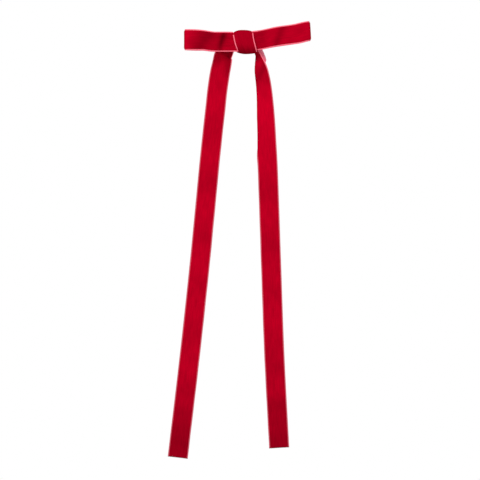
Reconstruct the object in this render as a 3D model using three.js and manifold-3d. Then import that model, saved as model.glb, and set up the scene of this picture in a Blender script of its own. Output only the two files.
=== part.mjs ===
// A slim velvet ribbon hair bow on a sprung clip: two loops, a knot and two long tails.
// Millimetres. +X is the viewer's right, +Z is up, and the bow's face looks along -Y.
// The origin is on the flat jaw's gripping face, straight behind the middle of the knot.
import * as THREE from "three";
import { mergeVertices } from "three/addons/utils/BufferGeometryUtils.js";
import Module from "manifold-3d";

const wasm = await Module();
wasm.setup();

// Ribbon, eased a little narrower where the knot holds it
const RIBBON_WIDTH = 14;
const HELD_WIDTH = 13;
const RIBBON_THICK = 0.8;
const LAYER_GAP = 0.2;

// Clip: sheet steel jaws, the flat one in front of the toothed one
const SHEET = 0.7;
const JAW_WIDTH = 8;
const JAW_NOSE_X = -31;
const LEVER_END_X = 22;
const CLIP_LIFT = 1;
const PIVOT = new THREE.Vector2(5, 3.4);
const PIN_RADIUS = 0.8;
const PIN_CLEARANCE = 0.08;
const EAR_RADIUS = 2.1;
const EAR_GAP = 0.2;
const WIRE = 0.6;
const SPRING_RADIUS = 1.6;
const SPRING_TURNS = 3;
const SPRING_LEG = 11.5;
const LINING_WIDTH = 8.6;
const LINING_THICK = 0.5;
const GLUE_THICK = 0.5;

// Knot
const WRAP_WIDTH = 13.6;
const WRAP_THICK = 0.9;
const WRAP_HALF_HEIGHT = 8.3;
const WRAP_LEAN = -0.2;
const WRAP_SHIFT = 0.3;
const THREAD_THICK = 0.5;
const THREAD_BAND = 2.4;

// Loops, measured from the knot's middle
const LEFT_REACH = 42;
const RIGHT_REACH = 46.2;
const LEFT_LIFT = 1.4;
const RIGHT_LIFT = 7.6;
const LOOP_BULGE = 7;

// Tails
const TAIL_HINGE_X = 6.5;
const TAIL_HINGE_Z = -1;
const TAIL_END_RADIUS = 2.6;
const TAIL_WAVE = 2.5;

// Levels through the bow, from the clip forward
const liningBack = -SHEET - LAYER_GAP;
const glueBack = liningBack - LINING_THICK - LAYER_GAP;
const wrapBack = glueBack - GLUE_THICK - LAYER_GAP;
const threadBack = wrapBack - WRAP_THICK - LAYER_GAP;
const step = RIBBON_THICK + LAYER_GAP;
const rightTailY = threadBack - THREAD_THICK - LAYER_GAP - RIBBON_THICK / 2;
const leftTailY = rightTailY - step;
const rightBackY = leftTailY - step;
const leftBackY = rightBackY - step;
const rightFrontY = leftBackY - step;
const leftFrontY = rightFrontY - step;
const threadFront = leftFrontY - RIBBON_THICK / 2 - LAYER_GAP - THREAD_THICK;
const wrapFront = threadFront - LAYER_GAP - WRAP_THICK;
const knotMiddleY = (wrapFront + wrapBack) / 2;

// Colours and finishes
const velvet = new THREE.MeshStandardMaterial({ color: 0xb0041f, roughness: 0.9, metalness: 0 });
const lining = new THREE.MeshStandardMaterial({ color: 0xa80a22, roughness: 0.7, metalness: 0 });
const thread = new THREE.MeshStandardMaterial({ color: 0x8e0a1c, roughness: 0.8, metalness: 0 });
const glue = new THREE.MeshStandardMaterial({ color: 0xe9e4d4, roughness: 0.4, metalness: 0 });
const nickel = new THREE.MeshStandardMaterial({ color: 0xb9babd, roughness: 0.3, metalness: 1 });
const wire = new THREE.MeshStandardMaterial({ color: 0x9a9a9c, roughness: 0.35, metalness: 1 });

const bow = new THREE.Group();

function addPiece(name, geometry, material) {
  const mesh = new THREE.Mesh(geometry, material);
  mesh.name = name;
  bow.add(mesh);
}

// The clip is drawn about Z = 0, and sits a little above the middle, hidden by both loops.
function addClipPiece(name, geometry, material) {
  geometry.translate(0, 0, CLIP_LIFT);
  addPiece(name, geometry, material);
}

// ---- joining and cutting ----

function solid(geometry) {
  const bare = new THREE.BufferGeometry();
  const plain = geometry.index ? geometry.toNonIndexed() : geometry;
  bare.setAttribute("position", plain.getAttribute("position").clone());
  const merged = mergeVertices(bare, 1e-4);
  const vertProperties = new Float32Array(merged.attributes.position.array);
  const triVerts = new Uint32Array(merged.index.array);
  return new wasm.Manifold(new wasm.Mesh({ numProp: 3, vertProperties, triVerts }));
}

function geometryOf(manifold) {
  const mesh = manifold.getMesh();
  const geometry = new THREE.BufferGeometry();
  geometry.setAttribute("position", new THREE.BufferAttribute(mesh.vertProperties, 3));
  geometry.setIndex(new THREE.BufferAttribute(mesh.triVerts, 1));
  geometry.computeVertexNormals();
  return geometry;
}

// ---- ribbon bands ----

// A flat band with four corners at each station, closed at both ends. At each station the
// across direction, turned a quarter towards the through direction, faces back down the band.
function band(stations) {
  const points = [];
  const faces = [];
  for (const { centre, across, through } of stations) {
    for (const [a, t] of [[-1, -1], [-1, 1], [1, 1], [1, -1]]) {
      const corner = centre.clone().addScaledVector(across, a).addScaledVector(through, t);
      points.push(corner.x, corner.y, corner.z);
    }
  }
  for (let i = 0; i + 1 < stations.length; i++) {
    for (let k = 0; k < 4; k++) {
      const here = 4 * i + k;
      const next = 4 * i + ((k + 1) % 4);
      faces.push(here, next, next + 4, here, next + 4, here + 4);
    }
  }
  const last = 4 * (stations.length - 1);
  faces.push(0, 2, 1, 0, 3, 2);
  faces.push(last, last + 1, last + 2, last, last + 2, last + 3);
  const geometry = new THREE.BufferGeometry();
  geometry.setAttribute("position", new THREE.BufferAttribute(new Float32Array(points), 3));
  geometry.setIndex(faces);
  geometry.computeVertexNormals();
  return geometry;
}

// One loop: out from the knot on the front layer, round the end and home on the back layer.
function loopBand(side, reach, lift, frontY, backY) {
  const bulgeY = frontY - LOOP_BULGE;
  const plan = new THREE.CatmullRomCurve3([
    new THREE.Vector3(-4, frontY, 0),
    new THREE.Vector3(5, frontY, 0),
    new THREE.Vector3(9.5, frontY - 0.6, 0),
    new THREE.Vector3(17, frontY - 4.5, 0),
    new THREE.Vector3(0.6 * reach, bulgeY, 0),
    new THREE.Vector3(0.84 * reach, bulgeY + 0.3, 0),
    new THREE.Vector3(0.97 * reach, bulgeY + 3.2, 0),
    new THREE.Vector3(0.985 * reach, (bulgeY + backY) / 2 + 0.6, 0),
    new THREE.Vector3(0.93 * reach, backY - 1, 0),
    new THREE.Vector3(0.8 * reach, backY, 0),
    new THREE.Vector3(0.5 * reach, backY - 0.2, 0),
    new THREE.Vector3(9, backY, 0),
    new THREE.Vector3(4, backY, 0),
    new THREE.Vector3(-4, backY, 0),
  ], false, "centripetal");
  const count = 64;
  const stations = [];
  for (let i = 0; i <= count; i++) {
    const at = plan.getPointAt(i / count);
    const along = plan.getTangentAt(i / count);
    const out = THREE.MathUtils.smoothstep(at.x, 6, 14) * Math.max(at.x - 8, 0) / (reach - 8);
    const tilt = THREE.MathUtils.smoothstep(at.x, 6, 16) * Math.atan(lift / (reach - 8));
    const free = THREE.MathUtils.smoothstep(at.x, 9, 18);
    const half = (HELD_WIDTH + (RIBBON_WIDTH - HELD_WIDTH) * free) / 2;
    stations.push({
      centre: new THREE.Vector3(side * at.x, at.y, lift * out),
      across: new THREE.Vector3(-side * Math.sin(tilt), 0, Math.cos(tilt)).multiplyScalar(half),
      through: new THREE.Vector3(-along.y, side * along.x, 0).multiplyScalar(RIBBON_THICK / 2),
    });
  }
  return band(stations);
}

// One tail: a rounded top in the knot's mouth, then the long fall to a square-cut end.
function tailBand(side, level, route, widths) {
  const line = new THREE.CatmullRomCurve3(
    route.map(([x, z]) => new THREE.Vector3(x, 0, z)), false, "centripetal");
  const length = line.getLength();
  const depths = [];
  for (let i = 0; i <= 6; i++) depths.push(TAIL_END_RADIUS * (1 - Math.cos((i / 6) * (Math.PI / 2))));
  for (let s = TAIL_END_RADIUS + 2; s < 24; s += 2) depths.push(s);
  for (let i = 0; i <= 36; i++) depths.push(24 + ((length - 24) * i) / 36);
  depths[0] = 0.02;
  return band(depths.map((s) => {
    const u = Math.min(s / length, 1);
    const centre = line.getPointAt(u);
    const along = line.getTangentAt(u);
    const short = TAIL_END_RADIUS - Math.min(s, TAIL_END_RADIUS);
    const round = Math.sqrt(TAIL_END_RADIUS ** 2 - short ** 2);
    const half = s < TAIL_END_RADIUS ? round : widthAt(widths, s);
    centre.y = level + wave(s, length);
    return {
      centre,
      across: new THREE.Vector3(-along.z, 0, along.x).multiplyScalar(half),
      through: new THREE.Vector3(0, RIBBON_THICK / 2, 0),
    };
  }));
}

// The tails hang in one long shallow fore-and-aft wave that starts below the loops.
function wave(s, length) {
  const start = THREE.MathUtils.smoothstep(s, 25, 90);
  return -TAIL_WAVE * start * Math.sin((2 * Math.PI * s) / (0.62 * length));
}

function widthAt(widths, s) {
  for (let i = 1; i < widths.length; i++) {
    const [s0, w0] = widths[i - 1];
    const [s1, w1] = widths[i];
    if (s <= s1) return w0 + (w1 - w0) * THREE.MathUtils.smoothstep(s, s0, s1);
  }
  return widths[widths.length - 1][1];
}

// ---- the knot ----

function roundedRectangle(halfY, halfZ, radius) {
  const shape = new THREE.Shape();
  const y = halfY - radius;
  const z = halfZ - radius;
  shape.absarc(y, z, radius, 0, Math.PI / 2);
  shape.absarc(-y, z, radius, Math.PI / 2, Math.PI);
  shape.absarc(-y, -z, radius, Math.PI, 1.5 * Math.PI);
  shape.absarc(y, -z, radius, 1.5 * Math.PI, 2 * Math.PI);
  shape.closePath();
  return shape;
}

function superEllipse(halfY, halfZ, power, count) {
  const points = [];
  for (let i = 0; i < count; i++) {
    const a = (2 * Math.PI * i) / count;
    const c = Math.cos(a);
    const s = Math.sin(a);
    const y = halfY * Math.sign(c) * Math.abs(c) ** (2 / power);
    const z = halfZ * Math.sign(s) * Math.abs(s) ** (2 / power);
    points.push(new THREE.Vector2(y, z));
  }
  return new THREE.Shape(points);
}

// A ring round the stack, drawn in the plane of Y and Z and run along X.
function ring(outer, inner, width, shift, lean) {
  outer.holes.push(new THREE.Path(inner.getPoints(8)));
  const geometry = new THREE.ExtrudeGeometry(outer,
    { depth: width, bevelEnabled: false, curveSegments: 8, steps: 1 });
  geometry.translate(0, 0, shift - width / 2);
  // The sketch's x, y and run become Y, Z and X.
  geometry.applyMatrix4(new THREE.Matrix4().set(
    0, 0, 1, 0,
    1, 0, 0, knotMiddleY,
    0, 1, 0, 0,
    0, 0, 0, 1));
  const place = geometry.getAttribute("position");
  for (let i = 0; i < place.count; i++) place.setX(i, place.getX(i) + lean * place.getZ(i));
  return geometry;
}

const halfDepth = (wrapBack - wrapFront) / 2;
const threadHalfY = halfDepth - WRAP_THICK - LAYER_GAP;
const threadHalfZ = HELD_WIDTH / 2 + LAYER_GAP + THREAD_THICK;
const wrapOuter = superEllipse(halfDepth, WRAP_HALF_HEIGHT, 3.6, 56);
const wrapInner = roundedRectangle(threadHalfY + LAYER_GAP, threadHalfZ + LAYER_GAP, 1.2);
const threadOuter = roundedRectangle(threadHalfY, threadHalfZ, 0.7);
const threadInner = roundedRectangle(
  threadHalfY - THREAD_THICK, threadHalfZ - THREAD_THICK, 0.2);

addPiece("left_loop", loopBand(-1, LEFT_REACH, LEFT_LIFT, leftFrontY, leftBackY), velvet);
addPiece("right_loop", loopBand(1, RIGHT_REACH, RIGHT_LIFT, rightFrontY, rightBackY), velvet);
addPiece("knot_wrap", ring(wrapOuter, wrapInner, WRAP_WIDTH, WRAP_SHIFT, WRAP_LEAN), velvet);
addPiece("binding_thread", ring(threadOuter, threadInner, THREAD_BAND, 0, 0), thread);

// Each route starts beyond the hinge, so that the rounded top is centred on it.
addPiece("left_tail", tailBand(-1, leftTailY, [
  [-TAIL_HINGE_X + 2, TAIL_HINGE_Z + 1.6],
  [-TAIL_HINGE_X, TAIL_HINGE_Z],
  [-11, -4.9],
  [-14.7, -10.6],
  [-16.9, -20],
  [-19, -32],
  [-24.2, -86],
  [-30.5, -151],
  [-37.7, -216],
  [-46.3, -288.4],
], [[TAIL_END_RADIUS, TAIL_END_RADIUS], [8, 4.6], [14, 6.4], [22, RIBBON_WIDTH / 2]]), velvet);
addPiece("right_tail", tailBand(1, rightTailY, [
  [TAIL_HINGE_X - 1.8, TAIL_HINGE_Z + 1.8],
  [TAIL_HINGE_X, TAIL_HINGE_Z],
  [10.8, -4.9],
  [12.5, -9.5],
  [12.7, -16],
  [13.2, -26],
  [14, -38],
  [16.2, -86],
  [18.2, -151],
  [20.5, -216],
  [23.8, -282.1],
], [[TAIL_END_RADIUS, 2.3], [14, 3], [24, 4.7], [44, 5.6], [80, RIBBON_WIDTH / 2]]), velvet);

// ---- the clip ----

// A plate with rounded corners in the plane of X and Z, from one level to another.
function plate(x0, x1, halfWidth, noseRadius, tailRadius, y0, y1) {
  const shape = new THREE.Shape();
  shape.absarc(x0 + noseRadius, halfWidth - noseRadius, noseRadius, Math.PI / 2, Math.PI);
  shape.absarc(x0 + noseRadius, -halfWidth + noseRadius, noseRadius, Math.PI, 1.5 * Math.PI);
  shape.absarc(x1 - tailRadius, -halfWidth + tailRadius, tailRadius, 1.5 * Math.PI, 2 * Math.PI);
  shape.absarc(x1 - tailRadius, halfWidth - tailRadius, tailRadius, 0, Math.PI / 2);
  shape.closePath();
  const geometry = new THREE.ExtrudeGeometry(shape,
    { depth: y1 - y0, bevelEnabled: false, curveSegments: 8 });
  // The sketch's y becomes Z, and the run becomes -Y.
  geometry.rotateX(Math.PI / 2);
  geometry.translate(0, y1, 0);
  return geometry;
}

// A side plate drawn in the plane of X and Y, from z0 to z1.
function sidePlate(shape, z0, z1) {
  const geometry = new THREE.ExtrudeGeometry(shape,
    { depth: z1 - z0, bevelEnabled: false, curveSegments: 12 });
  geometry.translate(0, 0, z0);
  return geometry;
}

function pinHole() {
  const hole = new THREE.CylinderGeometry(
    PIN_RADIUS + PIN_CLEARANCE, PIN_RADIUS + PIN_CLEARANCE, 2 * JAW_WIDTH, 24);
  hole.rotateX(Math.PI / 2);
  hole.translate(PIVOT.x, PIVOT.y, 0);
  return solid(hole);
}

// The flat jaw: a straight plate with an ear turned back from each edge.
const jawHalf = JAW_WIDTH / 2;
const flatEar = new THREE.Shape();
flatEar.moveTo(PIVOT.x - 3.6, -SHEET / 2);
flatEar.lineTo(PIVOT.x - EAR_RADIUS, PIVOT.y - 0.6);
flatEar.absarc(PIVOT.x, PIVOT.y, EAR_RADIUS, Math.PI, 0, true);
flatEar.lineTo(PIVOT.x + 3.6, -SHEET / 2);
flatEar.closePath();

let flatJaw = solid(plate(JAW_NOSE_X, LEVER_END_X, jawHalf, 2.6, 3, -SHEET, 0));
for (const z0 of [-jawHalf, jawHalf - SHEET]) {
  flatJaw = flatJaw.add(solid(sidePlate(flatEar, z0, z0 + SHEET)));
}
addClipPiece("upper_jaw", geometryOf(flatJaw.subtract(pinHole())), nickel);

// The toothed jaw: a bent web, with toothed edges turned up towards the flat jaw.
const webLine = [
  new THREE.Vector2(JAW_NOSE_X, 1.85),
  new THREE.Vector2(-1, 6.9),
  new THREE.Vector2(9, 7.6),
  new THREE.Vector2(LEVER_END_X, 11.6),
];
const web = new THREE.Shape([
  ...webLine,
  ...webLine.map((p) => new THREE.Vector2(p.x, p.y + SHEET)).reverse(),
]);
const toothedHalf = jawHalf - SHEET - EAR_GAP;
const webSlope = (webLine[1].y - webLine[0].y) / (webLine[1].x - webLine[0].x);
const FLANGE = 1.5;
const TOOTH_PITCH = 1.8;
const TOOTH_DEPTH = 0.8;
const TEETH = 13;

const flange = new THREE.Shape();
const webAt = (x) => webLine[0].y + webSlope * (x - JAW_NOSE_X);
const flangeStart = JAW_NOSE_X + 0.6;
flange.moveTo(flangeStart, webAt(flangeStart) + SHEET / 2);
for (let i = 0; i < TEETH; i++) {
  const x = flangeStart + i * TOOTH_PITCH;
  flange.lineTo(x, webAt(x) - FLANGE);
  flange.lineTo(x + TOOTH_PITCH * 0.8, webAt(x) - FLANGE + TOOTH_DEPTH);
}
const flangeEnd = flangeStart + TEETH * TOOTH_PITCH;
flange.lineTo(flangeEnd, webAt(flangeEnd) - FLANGE);
flange.lineTo(PIVOT.x - 4.4, webAt(PIVOT.x - 4.4) - 1.1);
flange.lineTo(PIVOT.x - EAR_RADIUS, PIVOT.y + 0.6);
flange.absarc(PIVOT.x, PIVOT.y, EAR_RADIUS, Math.PI, 0, false);
flange.lineTo(PIVOT.x + 3.6, webLine[2].y);
flange.lineTo(PIVOT.x + 3.6, webLine[2].y + SHEET / 2);
flange.lineTo(webLine[1].x, webLine[1].y + SHEET / 2);
flange.closePath();

let toothedJaw = solid(sidePlate(web, -jawHalf, jawHalf));
const narrow = solid(plate(JAW_NOSE_X - 1, PIVOT.x + 8, toothedHalf, 1.5, 1, 0, 20));
const wide = solid(plate(PIVOT.x + 5, LEVER_END_X, jawHalf, 2.5, 3, 0, 20));
toothedJaw = toothedJaw.intersect(narrow.add(wide));
for (const z0 of [-toothedHalf, toothedHalf - SHEET]) {
  toothedJaw = toothedJaw.add(solid(sidePlate(flange, z0, z0 + SHEET)));
}
addClipPiece("lower_jaw", geometryOf(toothedJaw.subtract(pinHole())), nickel);

// The rivet pin, headed outside the flat jaw's ears.
const headStart = jawHalf + 0.1;
const headEnd = headStart + 0.5;
const pinProfile = [
  [0, -headEnd],
  [1.1, -headEnd],
  [1.4, -headEnd + 0.2],
  [1.4, -headStart],
  [PIN_RADIUS, -headStart],
  [PIN_RADIUS, headStart],
  [1.4, headStart],
  [1.4, headEnd - 0.2],
  [1.1, headEnd],
  [0, headEnd],
].map(([r, h]) => new THREE.Vector2(r, h));
const pin = new THREE.LatheGeometry(pinProfile, 24);
pin.rotateX(Math.PI / 2);
pin.translate(PIVOT.x, PIVOT.y, 0);
addClipPiece("pivot_pin", pin, nickel);

// The torsion spring: a leg on the flat jaw, the coil round the pin, a leg on the other lever.
// Seen from +Z the wire winds clockwise, and each leg leaves the coil along its tangent.
class SpringLine extends THREE.Curve {
  constructor(enter, leave, turns) {
    super();
    this.enter = enter;
    this.turn = 2 * Math.PI * (turns + 1) - (leave - enter);
    this.coil = SPRING_RADIUS * this.turn;
    this.length = this.coil + 2 * SPRING_LEG;
    this.halfLift = 1.7;
  }
  getPoint(t, target = new THREE.Vector3()) {
    const run = t * this.length - SPRING_LEG;
    const onCoil = THREE.MathUtils.clamp(run, 0, this.coil);
    const angle = this.enter - onCoil / SPRING_RADIUS;
    const beyond = run - onCoil;
    return target.set(
      PIVOT.x + SPRING_RADIUS * Math.cos(angle) + beyond * Math.sin(angle),
      PIVOT.y + SPRING_RADIUS * Math.sin(angle) - beyond * Math.cos(angle),
      this.halfLift * ((2 * onCoil) / this.coil - 1));
  }
}
const leverSlope = Math.atan2(webLine[3].y - webLine[2].y, webLine[3].x - webLine[2].x);
const flatLegTilt = THREE.MathUtils.degToRad(6.5);
const leverLegTilt = leverSlope + THREE.MathUtils.degToRad(3.7);
const springLine = new SpringLine(
  -Math.PI / 2 - flatLegTilt, Math.PI / 2 + leverLegTilt, SPRING_TURNS);
const wireSection = new THREE.Shape();
wireSection.absarc(0, 0, WIRE / 2, 0, 2 * Math.PI);
const spring = new THREE.ExtrudeGeometry(wireSection,
  { extrudePath: springLine, steps: 80, curveSegments: 4, bevelEnabled: false });
addClipPiece("jaw_spring", spring, wire);

// What joins the bow to the clip.
addClipPiece("clip_lining", plate(JAW_NOSE_X - 0.5, LEVER_END_X + 0.5, LINING_WIDTH / 2, 2.8, 3,
  liningBack - LINING_THICK, liningBack), lining);
addClipPiece("glue_pad", plate(-5.5, 5.5, 4.6, 2, 2, glueBack - GLUE_THICK, glueBack), glue);

export default bow;
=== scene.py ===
import math

import bmesh
import bpy
from mathutils import Matrix, Vector, noise


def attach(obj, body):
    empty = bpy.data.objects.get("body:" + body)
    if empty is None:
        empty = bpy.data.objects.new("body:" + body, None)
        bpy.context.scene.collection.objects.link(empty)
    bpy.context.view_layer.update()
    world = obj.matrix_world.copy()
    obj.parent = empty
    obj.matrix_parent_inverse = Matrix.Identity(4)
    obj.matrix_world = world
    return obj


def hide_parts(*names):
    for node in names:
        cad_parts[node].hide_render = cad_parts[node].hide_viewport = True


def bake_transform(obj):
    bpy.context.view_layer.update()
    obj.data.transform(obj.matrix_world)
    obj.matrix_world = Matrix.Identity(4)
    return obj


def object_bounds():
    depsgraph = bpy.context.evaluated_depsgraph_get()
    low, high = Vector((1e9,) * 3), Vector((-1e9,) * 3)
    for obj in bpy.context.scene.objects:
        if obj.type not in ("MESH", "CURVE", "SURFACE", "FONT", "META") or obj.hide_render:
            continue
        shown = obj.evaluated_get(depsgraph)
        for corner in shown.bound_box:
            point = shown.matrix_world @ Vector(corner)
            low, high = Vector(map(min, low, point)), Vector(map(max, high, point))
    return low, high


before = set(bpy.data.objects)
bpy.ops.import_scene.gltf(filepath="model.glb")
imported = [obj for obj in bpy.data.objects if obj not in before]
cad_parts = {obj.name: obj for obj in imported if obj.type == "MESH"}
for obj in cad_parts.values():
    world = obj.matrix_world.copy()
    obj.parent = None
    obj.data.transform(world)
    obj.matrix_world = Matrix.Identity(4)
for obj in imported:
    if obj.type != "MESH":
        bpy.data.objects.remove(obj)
cad_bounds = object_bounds()

MM = 0.001

# Ribbon: a woven ground with a pale selvedge down each edge and the pile between them
RIBBON_WIDTH = 14.0
HALF_WIDTH = RIBBON_WIDTH / 2
SELVEDGE = 0.7
GROUND = 0.32
PILE = 0.5
SEALED_END = 0.45
EDGE_COLUMNS = [7.0, 6.65, 6.3, 6.05, 5.7, 5.2, 4.7, 4.2, 3.7, 3.2, 2.7, 2.2, 1.7, 1.2, 0.6]
COLUMNS = [-place for place in EDGE_COLUMNS] + [0.0] + EDGE_COLUMNS[::-1]
ROW_STEP = 0.8

# The sheet that is thickened lies this far behind the middle of the ribbon's thickness.
SHEET_DEPTH = 0.4

# The tightest fold the ribbon takes
TIGHT = 0.5

# How far a loop's front swells forward of the knot, and a tail waves to the front and back
LOOP_SWELL = 7.0
WAVE_DEPTH = 2.5

# Painted shade on a tail's selvedge: how bright it is painted, against 1 on the loops, whose top edges catch
# the light
TAIL_EDGE_PAINTED_LIGHT = 0.65

# Depths of the ribbon's layers through the knot, from the tails forward
RIGHT_TAIL_Y = -4.5
LEFT_TAIL_Y = -5.5
RIGHT_BACK_Y = -6.5
LEFT_BACK_Y = -7.5
RIGHT_FRONT_Y = -8.5
LEFT_FRONT_Y = -9.5
KNOT_MIDDLE_Y = -7.0

# Clip, drawn about the middle of its width, which sits a little above the knot's
PIVOT_X = 5.0
PIVOT_Y = 3.4
CLIP_Z = 1.0
LEVER_RISE = 4.0
LEVER_RUN = 13.0
SPRING_RADIUS = 1.6
SPRING_LEG = 11.5
WIRE = 0.6


# ---- camera, light and floor ----

def set_camera():
    """Straight at the bow's face through a long lens, with the whole fall of the tails in view."""
    low, high = cad_bounds
    middle = (low + high) / 2
    bpy.ops.object.camera_add(location=(middle.x, -4.0, middle.z), rotation=(math.pi / 2, 0, 0))
    camera = bpy.context.object
    camera.data.lens = 432
    camera.data.sensor_width = 36
    bpy.context.scene.camera = camera


def add_soft_light(name, place, aim, size, watts):
    bpy.ops.object.light_add(type="AREA", location=place)
    light = bpy.context.object
    light.name = name
    light.data.shape = "DISK"
    light.data.size = size
    light.data.energy = watts
    light.rotation_euler = (Vector(aim) - Vector(place)).to_track_quat("-Z", "Y").to_euler()


def set_studio():
    low, high = cad_bounds
    world = bpy.data.worlds.new("white_studio")
    bpy.context.scene.world = world
    world.use_nodes = True
    tree = world.node_tree
    # The backdrop is plain white, and the light that comes back from it is softer.
    path = add_node(tree, "ShaderNodeLightPath", {}, {})
    strength = add_node(tree, "ShaderNodeMapRange", {}, {
        "Value": path.outputs["Is Camera Ray"], "To Min": 0.5, "To Max": 1.0})
    tree.nodes["Background"].inputs["Color"].default_value = (1, 1, 1, 1)
    tree.links.new(strength.outputs["Result"], tree.nodes["Background"].inputs["Strength"])
    add_soft_light("key_light", (-0.3, -0.7, 0.6), (0, 0, -0.1), 0.4, 5.2)
    add_soft_light("fill_light", (0.6, -0.8, 0.0), (0, 0, -0.15), 0.5, 1.5)
    bpy.ops.mesh.primitive_plane_add(size=2.0, location=(0, 0, low.z - 0.07))
    floor = bpy.context.object
    floor.name = "floor"
    floor.data.materials.append(pale_floor())
    bpy.context.scene.view_settings.view_transform = "Standard"


# ---- materials ----

def linear(hex_colour):
    """An sRGB hex colour as the linear red, green, blue and alpha that shaders take."""
    parts = [int(hex_colour[i:i + 2], 16) / 255 for i in (1, 3, 5)]
    return tuple(c / 12.92 if c <= 0.04045 else ((c + 0.055) / 1.055) ** 2.4 for c in parts) + (1.0,)


def add_node(tree, kind, settings, inputs):
    """Adds one node. A value that is a socket is linked, and any other is set."""
    made = tree.nodes.new(kind)
    for key, value in settings.items():
        setattr(made, key, value)
    for key, value in inputs.items():
        if isinstance(value, bpy.types.NodeSocket):
            tree.links.new(value, made.inputs[key])
        else:
            made.inputs[key].default_value = value
    return made


def start_material(name, base, roughness, **sockets):
    material = bpy.data.materials.new(name)
    material.use_nodes = True
    shader = material.node_tree.nodes["Principled BSDF"]
    shader.inputs["Base Color"].default_value = base
    shader.inputs["Roughness"].default_value = roughness
    for key, value in sockets.items():
        shader.inputs[SOCKETS[key]].default_value = value
    return material, material.node_tree, shader


SOCKETS = {
    "metallic": "Metallic", "specular": "Specular IOR Level", "sheen": "Sheen Weight",
    "sheen_roughness": "Sheen Roughness", "sheen_tint": "Sheen Tint", "subsurface": "Subsurface Weight",
}


def velvet_pile():
    """Polyester cut pile velvet: dark looking down into its short threads, and bright where they lean, with
    painted light and shade laid on its colour from an attribute.
    """
    material, tree, shader = start_material(
        "velvet_pile", base=linear("#B80020"), roughness=0.95, specular=0.0,
        sheen=0.12, sheen_roughness=0.35, sheen_tint=linear("#FF0A30"))
    uv = add_node(tree, "ShaderNodeUVMap", {"uv_map": "ribbon_mm"}, {})
    # Painted light and shade at each place, together with the pile's own lean: 1 is as it came off the reel.
    nap_and_shade = add_node(tree, "ShaderNodeAttribute", {"attribute_name": "nap_and_shade"}, {})
    # Small clouds, some 7 mm long, where fingers have turned the pile.
    cloud_place = add_node(tree, "ShaderNodeMapping", {}, {
        "Vector": uv.outputs["UV"], "Scale": (0.22, 0.13, 1)})
    clouds = add_node(tree, "ShaderNodeTexNoise", {}, {
        "Vector": cloud_place.outputs["Vector"], "Scale": 1.0, "Detail": 2.0, "Roughness": 0.5})
    # The pile stands in rows along the ribbon about 0.4 mm apart, drawn at 0.8 mm so that they show.
    row_place = add_node(tree, "ShaderNodeMapping", {}, {
        "Vector": uv.outputs["UV"], "Scale": (1.3, 0.1, 1)})
    rows = add_node(tree, "ShaderNodeTexNoise", {}, {
        "Vector": row_place.outputs["Vector"], "Scale": 1.0, "Detail": 3.0, "Roughness": 0.6})
    # Single tufts, about 0.3 mm across.
    tufts = add_node(tree, "ShaderNodeTexNoise", {}, {
        "Vector": uv.outputs["UV"], "Scale": 3.2, "Detail": 2.0, "Roughness": 0.6})
    cloud_tone = add_node(tree, "ShaderNodeMapRange", {}, {
        "Value": clouds.outputs["Fac"], "From Min": 0.3, "From Max": 0.7, "To Min": 0.94, "To Max": 1.06})
    row_tone = add_node(tree, "ShaderNodeMapRange", {}, {
        "Value": rows.outputs["Fac"], "From Min": 0.3, "From Max": 0.7, "To Min": 0.88, "To Max": 1.12})
    tuft_tone = add_node(tree, "ShaderNodeMapRange", {}, {
        "Value": tufts.outputs["Fac"], "From Min": 0.3, "From Max": 0.7, "To Min": 0.86, "To Max": 1.14})
    fine = add_node(tree, "ShaderNodeMath", {"operation": "MULTIPLY"}, {
        0: row_tone.outputs["Result"], 1: tuft_tone.outputs["Result"]})
    soft = add_node(tree, "ShaderNodeMath", {"operation": "MULTIPLY"}, {
        0: cloud_tone.outputs["Result"], 1: nap_and_shade.outputs["Fac"]})
    tone = add_node(tree, "ShaderNodeMath", {"operation": "MULTIPLY"}, {
        0: fine.outputs["Value"], 1: soft.outputs["Value"]})
    colour = add_node(tree, "ShaderNodeVectorMath", {"operation": "SCALE"}, {
        "Vector": linear("#B80020")[:3], "Scale": tone.outputs["Value"]})
    tree.links.new(colour.outputs["Vector"], shader.inputs["Base Color"])
    height = add_node(tree, "ShaderNodeMath", {"operation": "ADD"}, {
        0: rows.outputs["Fac"], 1: tufts.outputs["Fac"]})
    bump = add_node(tree, "ShaderNodeBump", {}, {
        "Height": height.outputs["Value"], "Strength": 0.5, "Distance": 0.12 * MM})
    tree.links.new(bump.outputs["Normal"], shader.inputs["Normal"])
    return material


def woven_selvedge():
    """Bare satin-woven edge threads: smooth, pale pink, with a weft thread turning every half millimetre."""
    material, tree, shader = start_material(
        "woven_selvedge", base=linear("#EE7389"), roughness=0.5, specular=0.4,
        sheen=0.2, sheen_roughness=0.4, sheen_tint=linear("#FFD0D8"))
    uv = add_node(tree, "ShaderNodeUVMap", {"uv_map": "ribbon_mm"}, {})
    turns = add_node(tree, "ShaderNodeTexWave", {"bands_direction": "Y"}, {
        "Vector": uv.outputs["UV"], "Scale": 0.31, "Distortion": 1.2, "Detail": 1.0})
    colour = add_node(tree, "ShaderNodeMix", {"data_type": "RGBA"}, {
        "Factor": turns.outputs["Fac"], "A": linear("#FF5068"), "B": linear("#FF8098")})
    # Painted shade: where the edge catches less light it is darker, and 1 is as lit as on the loops.
    painted_edge_light = add_node(tree, "ShaderNodeAttribute", {"attribute_name": "painted_edge_light"}, {})
    edge_shaded = add_node(tree, "ShaderNodeVectorMath", {"operation": "SCALE"}, {
        "Vector": colour.outputs["Result"], "Scale": painted_edge_light.outputs["Fac"]})
    tree.links.new(edge_shaded.outputs["Vector"], shader.inputs["Base Color"])
    bump = add_node(tree, "ShaderNodeBump", {}, {
        "Height": turns.outputs["Fac"], "Strength": 0.5, "Distance": 0.08 * MM})
    tree.links.new(bump.outputs["Normal"], shader.inputs["Normal"])
    return material


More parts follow.
